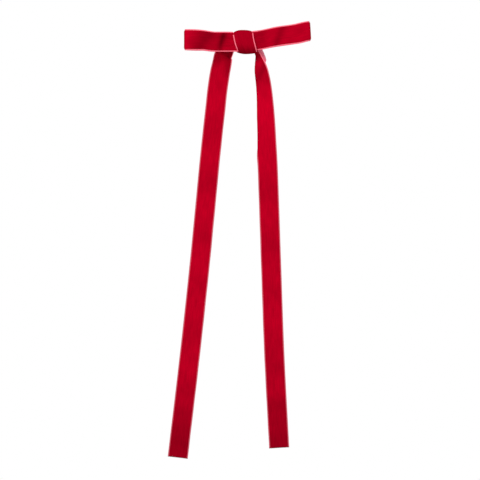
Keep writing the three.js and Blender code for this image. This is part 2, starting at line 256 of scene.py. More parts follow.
def satin_back():
    """The ground cloth seen from behind: a close satin weave, paler and smoother than the pile."""
    material, tree, shader = start_material(
        "satin_back", base=linear("#C4586E"), roughness=0.45, specular=0.45,
        sheen=0.15, sheen_roughness=0.5, sheen_tint=linear("#FFC0CA"))
    uv = add_node(tree, "ShaderNodeUVMap", {"uv_map": "ribbon_mm"}, {})
    # Weft floats 0.35 mm apart across the ribbon, drawn at 0.5 mm.
    weft = add_node(tree, "ShaderNodeTexWave", {"bands_direction": "Y"}, {
        "Vector": uv.outputs["UV"], "Scale": 0.31, "Distortion": 0.6, "Detail": 1.0})
    warp = add_node(tree, "ShaderNodeTexWave", {"bands_direction": "X"}, {
        "Vector": uv.outputs["UV"], "Scale": 0.5, "Distortion": 0.8, "Detail": 1.0})
    weave = add_node(tree, "ShaderNodeMath", {"operation": "MULTIPLY_ADD"}, {
        0: warp.outputs["Fac"], 1: 0.4, 2: weft.outputs["Fac"]})
    cloud = add_node(tree, "ShaderNodeTexNoise", {}, {
        "Vector": uv.outputs["UV"], "Scale": 0.12, "Detail": 2.0})
    mixed = add_node(tree, "ShaderNodeMath", {"operation": "MULTIPLY_ADD"}, {
        0: weave.outputs["Value"], 1: 0.35, 2: cloud.outputs["Fac"]})
    colour = add_node(tree, "ShaderNodeMix", {"data_type": "RGBA"}, {
        "Factor": mixed.outputs["Value"], "A": linear("#D4546F"), "B": linear("#F6849C")})
    tree.links.new(colour.outputs["Result"], shader.inputs["Base Color"])
    bump = add_node(tree, "ShaderNodeBump", {}, {
        "Height": weave.outputs["Value"], "Strength": 0.4, "Distance": 0.06 * MM})
    tree.links.new(bump.outputs["Normal"], shader.inputs["Normal"])
    return material


def sealed_edge():
    """Ribbon cut with a hot knife: polyester melted to a thin, dark, slightly glossy bead."""
    material, tree, shader = start_material(
        "sealed_edge", base=linear("#6A0414"), roughness=0.35, specular=0.5)
    place = add_node(tree, "ShaderNodeTexCoord", {}, {})
    lumps = add_node(tree, "ShaderNodeTexNoise", {}, {
        "Vector": place.outputs["Object"], "Scale": 1.6 / MM, "Detail": 2.0})
    colour = add_node(tree, "ShaderNodeMix", {"data_type": "RGBA"}, {
        "Factor": lumps.outputs["Fac"], "A": linear("#4E020E"), "B": linear("#860A1E")})
    tree.links.new(colour.outputs["Result"], shader.inputs["Base Color"])
    bump = add_node(tree, "ShaderNodeBump", {}, {
        "Height": lumps.outputs["Fac"], "Strength": 0.6, "Distance": 0.1 * MM})
    tree.links.new(bump.outputs["Normal"], shader.inputs["Normal"])
    return material


def grosgrain():
    """Grosgrain lining ribbon: matt, with a thick weft rib every 0.9 mm across its run."""
    material, tree, shader = start_material(
        "grosgrain", base=linear("#A50A22"), roughness=0.75, specular=0.3,
        sheen=0.15, sheen_roughness=0.5, sheen_tint=linear("#FF8090"))
    place = add_node(tree, "ShaderNodeTexCoord", {}, {})
    ribs = add_node(tree, "ShaderNodeTexWave", {"bands_direction": "X"}, {
        "Vector": place.outputs["Object"], "Scale": 0.175 / MM, "Distortion": 0.15, "Detail": 1.0})
    threads = add_node(tree, "ShaderNodeTexNoise", {}, {
        "Vector": place.outputs["Object"], "Scale": 2.5 / MM, "Detail": 1.0})
    tone = add_node(tree, "ShaderNodeMath", {"operation": "MULTIPLY_ADD"}, {
        0: threads.outputs["Fac"], 1: 0.35, 2: ribs.outputs["Fac"]})
    colour = add_node(tree, "ShaderNodeMix", {"data_type": "RGBA"}, {
        "Factor": tone.outputs["Value"], "A": linear("#7E0618"), "B": linear("#B60E28")})
    tree.links.new(colour.outputs["Result"], shader.inputs["Base Color"])
    bump = add_node(tree, "ShaderNodeBump", {}, {
        "Height": tone.outputs["Value"], "Strength": 0.8, "Distance": 0.15 * MM})
    tree.links.new(bump.outputs["Normal"], shader.inputs["Normal"])
    return material


def nickel_plate():
    """Nickel-plated pressed steel: bright and slightly warm, with fine rolling lines and handling marks."""
    material, tree, shader = start_material(
        "nickel_plate", base=linear("#CFCBC4"), metallic=1.0, roughness=0.24)
    place = add_node(tree, "ShaderNodeTexCoord", {}, {})
    stretch = add_node(tree, "ShaderNodeMapping", {}, {
        "Vector": place.outputs["Object"], "Scale": (0.12 / MM, 2.4 / MM, 2.4 / MM)})
    rolling = add_node(tree, "ShaderNodeTexNoise", {}, {
        "Vector": stretch.outputs["Vector"], "Scale": 1.0, "Detail": 3.0})
    marks = add_node(tree, "ShaderNodeTexNoise", {}, {
        "Vector": place.outputs["Object"], "Scale": 0.35 / MM, "Detail": 4.0, "Roughness": 0.65})
    dull = add_node(tree, "ShaderNodeMath", {"operation": "MULTIPLY_ADD"}, {
        0: rolling.outputs["Fac"], 1: 0.5, 2: marks.outputs["Fac"]})
    rough = add_node(tree, "ShaderNodeMapRange", {}, {
        "Value": dull.outputs["Value"], "From Min": 0.5, "From Max": 1.0, "To Min": 0.16, "To Max": 0.36})
    tree.links.new(rough.outputs["Result"], shader.inputs["Roughness"])
    colour = add_node(tree, "ShaderNodeMix", {"data_type": "RGBA"}, {
        "Factor": marks.outputs["Fac"], "A": linear("#BEB9B0"), "B": linear("#DAD7D2")})
    tree.links.new(colour.outputs["Result"], shader.inputs["Base Color"])
    bump = add_node(tree, "ShaderNodeBump", {}, {
        "Height": rolling.outputs["Fac"], "Strength": 0.2, "Distance": 0.02 * MM})
    tree.links.new(bump.outputs["Normal"], shader.inputs["Normal"])
    return material


def spring_wire():
    """Drawn high-carbon spring wire: darker than the plated jaws, with die lines along it."""
    material, tree, shader = start_material(
        "spring_wire", base=linear("#8F8C88"), metallic=1.0, roughness=0.34)
    place = add_node(tree, "ShaderNodeTexCoord", {}, {})
    grime = add_node(tree, "ShaderNodeTexNoise", {}, {
        "Vector": place.outputs["Object"], "Scale": 0.8 / MM, "Detail": 4.0})
    colour = add_node(tree, "ShaderNodeMix", {"data_type": "RGBA"}, {
        "Factor": grime.outputs["Fac"], "A": linear("#6F6C69"), "B": linear("#ABA8A3")})
    tree.links.new(colour.outputs["Result"], shader.inputs["Base Color"])
    rough = add_node(tree, "ShaderNodeMapRange", {}, {
        "Value": grime.outputs["Fac"], "To Min": 0.24, "To Max": 0.46})
    tree.links.new(rough.outputs["Result"], shader.inputs["Roughness"])
    return material


def hot_melt():
    """Set hot-melt glue: milky, waxy and a little see-through at its thin edge."""
    material, tree, shader = start_material(
        "hot_melt", base=linear("#EDE6D4"), roughness=0.32, specular=0.45, subsurface=0.35)
    place = add_node(tree, "ShaderNodeTexCoord", {}, {})
    cloud = add_node(tree, "ShaderNodeTexNoise", {}, {
        "Vector": place.outputs["Object"], "Scale": 0.4 / MM, "Detail": 3.0})
    colour = add_node(tree, "ShaderNodeMix", {"data_type": "RGBA"}, {
        "Factor": cloud.outputs["Fac"], "A": linear("#DDD2B8"), "B": linear("#F4F0E4")})
    tree.links.new(colour.outputs["Result"], shader.inputs["Base Color"])
    return material


def sewing_thread():
    """Two-ply polyester sewing thread: red, with the ply's twist as slanting ridges."""
    material, tree, shader = start_material(
        "sewing_thread", base=linear("#8E0A1C"), roughness=0.6, specular=0.3,
        sheen=0.2, sheen_roughness=0.5, sheen_tint=linear("#FF9AA8"))
    place = add_node(tree, "ShaderNodeTexCoord", {}, {})
    twist = add_node(tree, "ShaderNodeTexWave", {"bands_direction": "DIAGONAL"}, {
        "Vector": place.outputs["Object"], "Scale": 0.5 / MM, "Distortion": 0.5})
    colour = add_node(tree, "ShaderNodeMix", {"data_type": "RGBA"}, {
        "Factor": twist.outputs["Fac"], "A": linear("#6C0614"), "B": linear("#A81228")})
    tree.links.new(colour.outputs["Result"], shader.inputs["Base Color"])
    bump = add_node(tree, "ShaderNodeBump", {}, {
        "Height": twist.outputs["Fac"], "Strength": 0.6, "Distance": 0.08 * MM})
    tree.links.new(bump.outputs["Normal"], shader.inputs["Normal"])
    return material


def pale_floor():
    """Matt white studio board."""
    material, tree, shader = start_material(
        "pale_floor", base=(0.9, 0.9, 0.9, 1), roughness=0.9, specular=0.1)
    place = add_node(tree, "ShaderNodeTexCoord", {}, {})
    grain = add_node(tree, "ShaderNodeTexNoise", {}, {
        "Vector": place.outputs["Object"], "Scale": 400.0, "Detail": 2.0})
    colour = add_node(tree, "ShaderNodeMix", {"data_type": "RGBA"}, {
        "Factor": grain.outputs["Fac"], "A": (0.89, 0.89, 0.89, 1), "B": (0.92, 0.92, 0.92, 1)})
    tree.links.new(colour.outputs["Result"], shader.inputs["Base Color"])
    return material


# ---- routes and blends of numbers ----

def eased(stations, at):
    """The value at a place between given (place, value) stations, with no corner and no overshoot."""
    if at <= stations[0][0]:
        return stations[0][1]
    if at >= stations[-1][0]:
        return stations[-1][1]
    after = next(i for i, (place, _) in enumerate(stations) if at < place)
    (x0, y0), (x1, y1) = stations[after - 1], stations[after]

    def slope(i):
        if i in (0, len(stations) - 1):
            return 0.0
        a = (stations[i][1] - stations[i - 1][1]) / (stations[i][0] - stations[i - 1][0])
        b = (stations[i + 1][1] - stations[i][1]) / (stations[i + 1][0] - stations[i][0])
        return 2 * a * b / (a + b) if a * b > 0 else 0.0

    span = x1 - x0
    t = (at - x0) / span
    return (y0 * (1 + 2 * t) * (1 - t) ** 2 + slope(after - 1) * span * t * (1 - t) ** 2
            + y1 * t * t * (3 - 2 * t) - slope(after) * span * t * t * (1 - t))


def hump(at, middle, breadth):
    """A soft bump of height 1 at its middle."""
    return math.exp(-((at - middle) / breadth) ** 2)


def drift(*place):
    """A smooth wander between about -1 and 1, the same each time for the same place."""
    return noise.noise(Vector(place))


class Route:
    """One smooth line through given points, read by the distance along it."""

    PARTS = 20

    def __init__(self, points):
        marks = [Vector(p) for p in points]
        marks = [2 * marks[0] - marks[1], *marks, 2 * marks[-1] - marks[-2]]
        self.line = [marks[1].copy()]
        for p0, p1, p2, p3 in zip(marks, marks[1:], marks[2:], marks[3:]):
            self.line += [self.between(p0, p1, p2, p3, (i + 1) / self.PARTS) for i in range(self.PARTS)]
        self.runs = [0.0]
        for a, b in zip(self.line, self.line[1:]):
            self.runs.append(self.runs[-1] + (b - a).length)
        self.length = self.runs[-1]

    @staticmethod
    def between(p0, p1, p2, p3, part):
        """Centripetal spline through p1 and p2, which makes no loop where the points are uneven."""
        t1 = (p1 - p0).length ** 0.5
        t2 = t1 + (p2 - p1).length ** 0.5
        t3 = t2 + (p3 - p2).length ** 0.5
        t = t1 + (t2 - t1) * part
        a1 = p0.lerp(p1, t / t1)
        a2 = p1.lerp(p2, (t - t1) / (t2 - t1))
        a3 = p2.lerp(p3, (t - t2) / (t3 - t2))
        b1 = a1.lerp(a2, t / t2)
        b2 = a2.lerp(a3, (t - t1) / (t3 - t1))
        return b1.lerp(b2, (t - t1) / (t2 - t1))

    def at(self, run):
        run = min(max(run, 0.0), self.length)
        low, high = 0, len(self.runs) - 1
        while high - low > 1:
            middle = (low + high) // 2
            if self.runs[middle] <= run:
                low = middle
            else:
                high = middle
        part = (run - self.runs[low]) / (self.runs[high] - self.runs[low])
        return self.line[low].lerp(self.line[high], part)

    def heading(self, run):
        return (self.at(run + 0.4) - self.at(run - 0.4)).normalized()


# ---- small shaping steps ----

def start_clean():
    """An operator acts on all that is selected, so nothing is left selected."""
    if bpy.context.object and bpy.context.object.mode != "OBJECT":
        bpy.ops.object.mode_set(mode="OBJECT")
    bpy.ops.object.select_all(action="DESELECT")


def take(piece):
    start_clean()
    piece.select_set(True)
    bpy.context.view_layer.objects.active = piece


def apply_modifier(piece, kind, **settings):
    take(piece)
    modifier = piece.modifiers.new(kind.lower(), kind)
    for key, value in settings.items():
        setattr(modifier, key, value)
    bpy.ops.object.modifier_apply(modifier=modifier.name)


def merge_doubles(piece):
    take(piece)
    bpy.ops.object.mode_set(mode="EDIT")
    bpy.ops.mesh.select_all(action="SELECT")
    bpy.ops.mesh.remove_doubles(threshold=0.002 * MM)
    bpy.ops.object.mode_set(mode="OBJECT")


def smooth(piece, degrees):
    take(piece)
    bpy.ops.object.shade_smooth_by_angle(angle=math.radians(degrees))


def give(piece, *materials):
    piece.data.materials.clear()
    for material in materials:
        piece.data.materials.append(material)


# ---- ribbon ----

def pile_height(across):
    """How full the pile stands at a place across the ribbon, from 0 on the selvedge to 1."""
    edge = HALF_WIDTH - abs(across)
    return eased([(SELVEDGE - 0.05, 0.0), (SELVEDGE + 0.25, 0.62), (SELVEDGE + 1.2, 1.0)], edge)


def cut_ribbon(name, length):
    """A flat length of ribbon with both ends sealed: across is X, along is Y, and its UV map is in
    millimetres."""
    start_clean()
    rows = round(length / ROW_STEP)
    bpy.ops.mesh.primitive_grid_add(x_subdivisions=len(COLUMNS) - 1, y_subdivisions=rows, size=1)
    ribbon = bpy.context.object
    ribbon.name = ribbon.data.name = name
    mesh = ribbon.data
    for vertex in mesh.vertices:
        column = round((vertex.co.x + 0.5) * (len(COLUMNS) - 1))
        row = round((vertex.co.y + 0.5) * rows)
        run = length * row / rows
        # The rows next to the ends sit close to them, where the cloth is melted.
        if row == 1:
            run = SEALED_END
        if row == rows - 1:
            run = length - SEALED_END
        vertex.co = (COLUMNS[column], run, 0)
    mesh.uv_layers[0].name = "ribbon_mm"
    for loop in mesh.loops:
        mesh.uv_layers[0].data[loop.index].uv = mesh.vertices[loop.vertex_index].co.xy
    give(ribbon, VELVET, SELVEDGE_WEAVE, SEALED, BACK, SELVEDGE_WEAVE, SEALED)
    for face in mesh.polygons:
        if abs(face.center.x) > HALF_WIDTH - SELVEDGE:
            face.material_index = 1
        if face.center.y < SEALED_END or face.center.y > length - SEALED_END:
            face.material_index = 2
    pile = ribbon.vertex_groups.new(name="pile")
    for vertex in mesh.vertices:
        height = pile_height(vertex.co.x)
        if vertex.co.y < 0.01 or vertex.co.y > length - 0.01:
            height *= 0.3
        pile.add([vertex.index], height, "REPLACE")
    return ribbon


def lay_ribbon(ribbon, place, pile_tone_and_shade, painted_edge_light=((0, 1.0), (1, 1.0))):
    """Moves each point of a flat ribbon to its place, then gives the cloth its thickness and its pile.
    The third argument gives the painted light and shade on the pile at each place along and across, and the
    fourth the painted shade on the selvedges along it."""
    for name in ("nap_and_shade", "painted_edge_light"):
        ribbon.data.attributes.new(name, "FLOAT", "POINT")
    nap_and_shade, edges = ribbon.data.attributes["nap_and_shade"], ribbon.data.attributes["painted_edge_light"]
    for vertex in ribbon.data.vertices:
        run, across = vertex.co.y, vertex.co.x
        nap_and_shade.data[vertex.index].value = pile_tone_and_shade(run, across)
        edges.data[vertex.index].value = eased(painted_edge_light, run)
        vertex.co = place(run, across) * MM
    ribbon.data.update()
    apply_modifier(
        ribbon, "SOLIDIFY", thickness=(GROUND + PILE) * MM, offset=1.0, vertex_group="pile",
        thickness_vertex_group=GROUND / (GROUND + PILE), material_offset=3, material_offset_rim=0)
    ribbon.vertex_groups.clear()
    smooth(ribbon, 50)
    return ribbon


# ---- loops ----

def loop_plan(reach, front_y, back_y):
    """The loop seen from above, as (distance out from the knot's middle, depth)."""
    crest = front_y - LOOP_SWELL
    return Route([(out, depth, 0) for out, depth in [
        (-4, front_y), (5, front_y), (9.5, front_y - 0.6), (17, front_y - 4.5),
        (0.6 * reach, crest), (0.84 * reach, crest + 0.3), (0.97 * reach, crest + 3.2),
        (0.985 * reach, (crest + back_y) / 2 + 0.6), (0.93 * reach, back_y - 1), (0.8 * reach, back_y),
        (0.5 * reach, back_y - 0.2), (9, back_y), (4, back_y), (-4, back_y)]])


def crease(out, up, start_up, angle, depth, breadth, reach):
    """A soft fold that runs out from the knot's side at an angle and fades with distance."""
    start_out = 8
    along = (out - start_out) * math.cos(angle) + (up - start_up) * math.sin(angle)
    off = (up - start_up) * math.cos(angle) - (out - start_out) * math.sin(angle)
    return -depth * eased([(-4, 0.0), (0.5, 1.0), (reach, 0.0)], along) * hump(off, 0, breadth)


def left_front(out, up):
    """How the left loop's front is pushed: an upright dent where it fills out, and gathers at the knot."""
    return (-0.75 * hump(out - 0.06 * up, 15.8, 2.3) + 0.25 * hump(out, 23, 5)
            + crease(out, up, 1.4, 0.16, 0.5, 0.9, 11) + crease(out, up, -3.0, -0.2, 0.42, 0.8, 9)
            + crease(out, up, 4.4, 0.1, 0.3, 0.7, 7))


def right_front(out, up):
    """How the right loop's front is pushed: one broad soft fold, and shallow gathers at the knot."""
    return (-0.3 * hump(out + 0.1 * up, 18.5, 3.0)
            + crease(out, up, 2.2, 0.3, 0.42, 0.9, 9) + crease(out, up, -2.4, 0.05, 0.36, 0.8, 8)
            + crease(out, up, 5.0, 0.35, 0.3, 0.8, 7))


def left_front_shade(out, up):
    """Painted light and shade on the left loop's front: painted shade in its dent and on a slanting fold,
    painted light at its outer turn.
    """
    even = eased([(7, 0.9), (12, 0.9), (20, 0.86), (33, 0.84), (37, 0.92), (40.5, 1.16)], out)
    fold = 0.31 * hump(out + 0.6 * up, 28.0, 6.0)
    dent = eased([(-6, 0.2), (-2, 0.48), (4, 0.6), (7, 0.3)], up) * hump(out + 0.28 * up, 15.6, 2.3)
    return even - fold - dent


def right_front_shade(out, up):
    """Painted shade on the right loop's front: darker in its gathers and on one slanting fold, even beyond.
    """
    even = eased([(7, 0.78), (12, 0.8), (18, 0.93), (30, 0.93), (40, 0.94), (45, 1.06)], out)
    return even - 0.3 * hump(out - 0.5 * up, 24, 2.8) - 0.12 * hump(out, 14, 3) * hump(up, 5, 3)


def make_loop(name, side, plan, rise, spread, front_shape, front_shade):
    """One loop of ribbon, pile outward. By the distance out from the knot, rise gives its middle's height
    and spread how far it opens across."""
    knot_edge, selvedge_lean = 6.6, 0.26

    def place(run, across):
        point, heading = plan.at(run), plan.heading(run)
        out, depth = point.x, point.y
        tilt = math.atan((eased(rise, out + 1) - eased(rise, out - 1)) / 2)
        up = Vector((-side * math.sin(tilt), 0, math.cos(tilt)))
        across_dir = up * -side
        outward = across_dir.cross(Vector((side * heading.x, heading.y, 0))).normalized()
        # Inside the knot the edges are pinched in and curl towards its middle.
        # The knot's selvedge leans, so the pinch starts nearer on one side of the ribbon than on the other.
        held = eased([(-2.2, 1.0), (0.0, 0.0)], out - knot_edge + side * selvedge_lean * (across * -side))
        width = across * (eased(spread, out) - 0.24 * held)
        curl = 0.3 * held * (across / HALF_WIDTH) ** 4 * (KNOT_MIDDLE_Y - depth)
        wander = 0.18 * drift(run * 0.09, side * 7.3, 0.4 if across > 0 else 2.4) * (across / HALF_WIDTH) ** 2
        if run < plan.length / 2:
            push = front_shape(out, across * -side)
        else:
            push = 0.3 * drift(out * 0.12, side, across * 0.08)
        centre = Vector((side * out, depth + curl, eased(rise, out)))
        return centre + across_dir * width + up * wander + outward * (push * (1 - held) - SHEET_DEPTH)

    def pile_tone_and_shade(run, across):
        # The front half gets its painted light and shade, the back half an even 0.8.
        return front_shade(plan.at(run).x, across * -side) if run < plan.length / 2 else 0.8

    ribbon = lay_ribbon(cut_ribbon(name, plan.length), place, pile_tone_and_shade)
    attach(ribbon, "root")
    return ribbon


def make_loops():
    left = make_loop(
        "left_loop_ribbon", -1, loop_plan(42.0, LEFT_FRONT_Y, LEFT_BACK_Y),
        [(0, -0.2), (8, -0.05), (14, -0.1), (20, -0.15), (30, 0.9), (42, 1.2)],
        [(8, 0.98), (26, 0.99), (34, 1.03), (42, 1.04)], left_front, left_front_shade)
    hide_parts("left_loop")
    right = make_loop(
        "right_loop_ribbon", 1, loop_plan(46.2, RIGHT_FRONT_Y, RIGHT_BACK_Y),
        [(0, 0), (8.8, 0.9), (22, 3.3), (36, 5.3), (46, 7.3)],
        [(8, 0.97), (15, 0.95), (26, 0.97), (46, 0.98)], right_front, right_front_shade)
    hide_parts("right_loop")


# ---- tails ----

def roll_under(inward, showing, radius, beyond):
    """Rolls the inner side of a tail round behind it. inward is the distance over the cloth from the outer
    selvedge, showing is the width left in front, and beyond is how far the cloth behind reaches past the
    outer selvedge before it turns in again. Gives the distance from the selvedge and the depth behind."""
    front = showing - radius
    if inward <= front:
        return inward, 0.0
    inward -= front
    if inward < math.pi * radius:
        return front + radius * math.sin(inward / radius), radius * (1 - math.cos(inward / radius))
    inward -= math.pi * radius
    if inward < front + beyond:
        return front - inward, 2 * radius
    inward -= front + beyond
    if inward < math.pi * TIGHT:
        return -beyond - TIGHT * math.sin(inward / TIGHT), 2 * radius + TIGHT * (1 - math.cos(inward / TIGHT))
    return inward - math.pi * TIGHT - beyond, 2 * (radius + TIGHT)


def left_tail_shade(run, inward):
    """Painted shadow on the left tail under its loop: dark down the inner side, and a little down the outer.
    """
    near = eased([(13, 0.0), (18, 1.0), (29, 1.0), (40, 0.0)], run)
    return near * (eased([(6.5, 0.0), (12, 0.34)], inward) + eased([(0.5, 0.14), (3, 0.0)], inward))


def right_tail_shade(run, inward):
    """Painted light and shade on the right tail: shade along one crease slanting down from its outer selvedge
    to its fold, light above it.
    """
    off = inward - 2.3 - 0.8 * (run - 24.5)
    crease_shade = 0.2 * eased([(17, 0.0), (22, 1.0), (29, 1.0), (36, 0.0)], run) * hump(off, 0, 2.6)
    return crease_shade - 0.16 * hump(run, 21, 3.5) * hump(inward, 4.2, 2.0)


def make_tail(name, side, level, outer_edge, opened, showing, radius, beyond, phase, shade, nap_and_shade):
    """One tail: gathered in the knot, opening flat as it falls in long waves. outer_edge is the line of its
    outer selvedge. By the distance along it, opened is the share of its width that is out of the gathers."""
    route = Route([(x, 0, z) for x, z in outer_edge])

    def wave(run):
        long_wave = (-WAVE_DEPTH * eased([(25, 0.0), (90, 1.0)], run)
                     * math.sin(2 * math.pi * run / (0.62 * route.length)))
        ripple = 0.3 * eased([(20, 0.0), (60, 1.0)], run) * math.sin(2 * math.pi * run / 36 + phase)
        return long_wave + ripple

    def place(run, across):
        edge, heading = route.at(run), route.heading(run)
        fall = Vector((heading.x, wave(run + 0.5) - wave(run - 0.5), heading.z)).normalized()
        turned = (math.radians(5) * eased([(20, 0.0), (60, 1.0)], run)
                  * math.sin(2 * math.pi * run / 47 + 2 * phase))
        across_dir = Matrix.Rotation(turned, 3, fall) @ Vector((heading.z, 0, -heading.x))
        front = across_dir.cross(fall).normalized()
        share = eased(opened, run)
        inward = (HALF_WIDTH + across * side) * share
        inner, behind = roll_under(inward, eased(showing, run), eased(radius, run), eased(beyond, run))
        pleats = 0.3 * (1 - min(share, 1)) * math.sin(across * 2.0 + 1)
        cup = ((0.4 + 0.4 * drift(run * 0.03, phase, 1.7))
               * eased([(30, 0.0), (90, 1.0)], run) * (across / HALF_WIDTH) ** 2)
        flutter = 0.15 * drift(run * 0.08, phase, across * 0.12)
        edge = edge + Vector((0, level + wave(run), 0))
        return edge + across_dir * (inner * side) + front * (pleats + cup + flutter - behind - SHEET_DEPTH)

    def pile_tone_and_shade(run, across):
        # The pile is brighter and darker in bands every 36 mm or so along the tail.
        bands = 0.05 * eased([(24, 0.0), (50, 1.0)], run) * math.cos(2 * math.pi * (run - 58) / 36)
        # The stations passed in paint light and shade along the tail: painted shadow under the loop near the
        # top, and darker towards the bottom.
        return eased(nap_and_shade, run) + bands - shade(run, HALF_WIDTH + across * side)

    ribbon = lay_ribbon(
        cut_ribbon(name, route.length), place, pile_tone_and_shade, [(18, 1.0), (34, TAIL_EDGE_PAINTED_LIGHT)])
    body = "left_tail" if side < 0 else "right_tail"
    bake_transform(ribbon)
    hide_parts(body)
    return ribbon


def make_tails():
    make_tail(
        "left_tail_ribbon", -1, LEFT_TAIL_Y,
        [(-3.6, 3.0), (-8, 2.2), (-13.5, -0.2), (-18.0, -3.5), (-20.6, -7.4), (-22.0, -13), (-23.8, -20.5),
         (-25.6, -32), (-27.0, -45), (-29.0, -63), (-31.4, -86), (-37.7, -151), (-44.7, -216),
         (-53.2, -287.6)],
        opened=[(4, 0.4), (9, 0.7), (14, 0.88), (18, 0.93), (23, 0.94), (30, 0.98), (40, 1.0)],
        showing=[(0, 20)], radius=[(0, 1.0)], beyond=[(0, 0)], phase=0.6, shade=left_tail_shade,
        nap_and_shade=[(14, 0.56), (17, 0.62), (21.5, 0.92), (30, 0.98), (183, 0.98), (213, 0.95), (248, 1.0),
             (262, 0.92), (272, 0.72), (298, 0.7)])
    make_tail(
        "right_tail_ribbon", 1, RIGHT_TAIL_Y,
        [(3.2, 3.4), (6.2, 1.8), (8.4, -2.0), (9.9, -5.6), (12.1, -9.4), (14.5, -14.0), (15.8, -17.2),
         (16.8, -20.5), (18.4, -28), (19.8, -38), (21.1, -52), (22.2, -70), (23.1, -86), (25.4, -151),
         (27.7, -216), (31.1, -281.3)],
        opened=[(4, 0.34), (10, 0.9), (15, 1.03), (20, 1.12), (24, 1.1), (34, 1.0)],
        showing=[(0, 6.0), (6, 4.6), (10.5, 2.5), (14.5, 3.4), (18.5, 5.8), (22.5, 7.8), (27, 8.9), (35, 9.7),
                 (45, 10.4), (60, 11.6), (78, 12.8), (98, 15.2)],
        radius=[(0, 0.35), (9, 0.4), (16, 0.5), (22, 0.55), (50, 1.2)],
        beyond=[(6, 0.8), (11.6, 2.1), (14, 1.8), (17.5, 1.4), (20.6, 0.8), (23.4, 0.2), (27, -0.8)],
        phase=2.1, shade=right_tail_shade,
        nap_and_shade=[(10, 0.7), (16, 0.6), (20, 0.82), (26, 0.84), (31, 0.84), (43, 1.1), (62, 1.14), (80, 1.08),
             (97, 1.0), (172, 0.93), (197, 1.0), (220, 0.92), (235, 0.84), (251, 1.0), (262, 0.74),
             (286, 0.68)])


# ---- knot ----

def make_knot_wrap():
    """A length of the same ribbon round the middle. It starts low at the back, goes up and over the top,
    down the front and under, and its end overlaps the start below the glue."""
    depth_half, top, foot, squareness = 3.85, 7.35, 6.85, 3.0

    def on_ring(degrees):
        c, s = math.cos(math.radians(degrees)), math.sin(math.radians(degrees))
        return (0, KNOT_MIDDLE_Y + depth_half * math.copysign(abs(c) ** (2 / squareness), c),
                (top if s > 0 else foot) * math.copysign(abs(s) ** (2 / squareness), s))

    ring = Route([on_ring(a) for a in range(-65, 321, 11)])

    def place(run, across):
        point, heading = ring.at(run), ring.heading(run)
        outward = Vector((-1, 0, 0)).cross(heading).normalized()
        # The crown: the ring is fullest in the middle of the ribbon and draws in towards each selvedge.
        side = abs(across) / HALF_WIDTH
        above = point.z > 0
        # Its right shoulder stands higher than its left, and it hangs lower on the right too.
        draw = ((0.24 if above else 0.22) if across > 0 else (0.19 if above else 0.11)) * side ** 2.2
        z = point.z * (1 - draw)
        y = KNOT_MIDDLE_Y + (point.y - KNOT_MIDDLE_Y) * (1 - 0.1 * side ** 2)
        lapped = 0.9 * eased([(ring.length - 13, 0.0), (ring.length - 5, 1.0)], run)
        on_front = eased([(-9.5, 1.0), (-8.0, 0.0)], point.y)
        low = eased([(-6, 1.0), (1, 0.0)], z)
        pleats = -on_front * low * (0.28 * hump(across, 2.6, 0.7) + 0.22 * hump(across, -1.2, 0.6)
                                    + 0.18 * hump(across, -4.2, 0.6))
        soft = 0.12 * drift(run * 0.18, across * 0.22, 5.1)
        middle = eased([(-7, 2.7), (-5, 1.7), (-1.8, 0.48), (2.3, -0.48), (6, -1.05), (8, -1.3)], z)
        # It slants across the front and runs straight down the back, clear of the right tail.
        middle *= eased([(-8.5, 1.0), (-5.5, 0.2)], y)
        half = eased([(-8, 6.1), (-5, 6.7), (-1.8, 7.0), (6, 7.0), (8, 6.8)], z)
        x = middle - half * across / HALF_WIDTH
        return Vector((x, y, z)) + outward * (lapped + pleats + soft)

    def pile_tone_and_shade(run, across):
        # Painted shade: the pile is darkest low down, and between the small pleats that start there.
        z = ring.at(run).z
        pleats = hump(across, 2.6, 0.6) + hump(across, -1.2, 0.5) + 0.8 * hump(across, -4.2, 0.5)
        even = eased([(-8, 0.44), (-6, 0.52), (-4, 0.64), (-2, 0.75), (1, 0.79), (6, 0.76)], z)
        return even - 0.09 * pleats * eased([(-6, 1.0), (1, 0.0)], z)

    wrap = lay_ribbon(cut_ribbon("knot_wrap_ribbon", ring.length), place, pile_tone_and_shade)
    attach(wrap, "root")
    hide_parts("knot_wrap")


def wire_piece(name, line, radius, material):
    """A round wire or thread along a line of points in millimetres, as a mesh."""
    curve = bpy.data.curves.new(name, "CURVE")
    curve.dimensions = "3D"
    curve.bevel_depth = radius * MM
    curve.bevel_resolution = 3
    curve.use_fill_caps = True
    spline = curve.splines.new("POLY")
    spline.points.add(len(line) - 1)
    for point, place in zip(spline.points, line):
        point.co = (*(Vector(place) * MM), 1)
    piece = bpy.data.objects.new(name, curve)
    bpy.context.collection.objects.link(piece)
    take(piece)
    bpy.ops.object.convert(target="MESH")
    piece = bpy.context.object
    piece.data.name = name
    merge_doubles(piece)
    smooth(piece, 60)
    give(piece, material)
    return piece


def make_thread():
    """Seven turns of sewing thread that draw the middle together under the wrap."""
    turns, width, thread_radius = 7, 2.1, 0.17
    half_deep, half_high, squareness = 3.35, 5.95, 0.6
    steps = turns * 40
    line = []
    for step in range(steps + 1):
        part = step / steps
        angle = 2 * math.pi * turns * part
        c, s = math.cos(angle), math.sin(angle)
        line.append((width * (part - 0.5) + 0.06 * math.sin(angle * 1.7),
                     KNOT_MIDDLE_Y + half_deep * math.copysign(abs(c) ** squareness, c),
                     half_high * math.copysign(abs(s) ** squareness, s)))
    thread = wire_piece("thread_turns", line, thread_radius, THREAD)
    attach(thread, "root")
    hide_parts("binding_thread")


# ---- clip ----

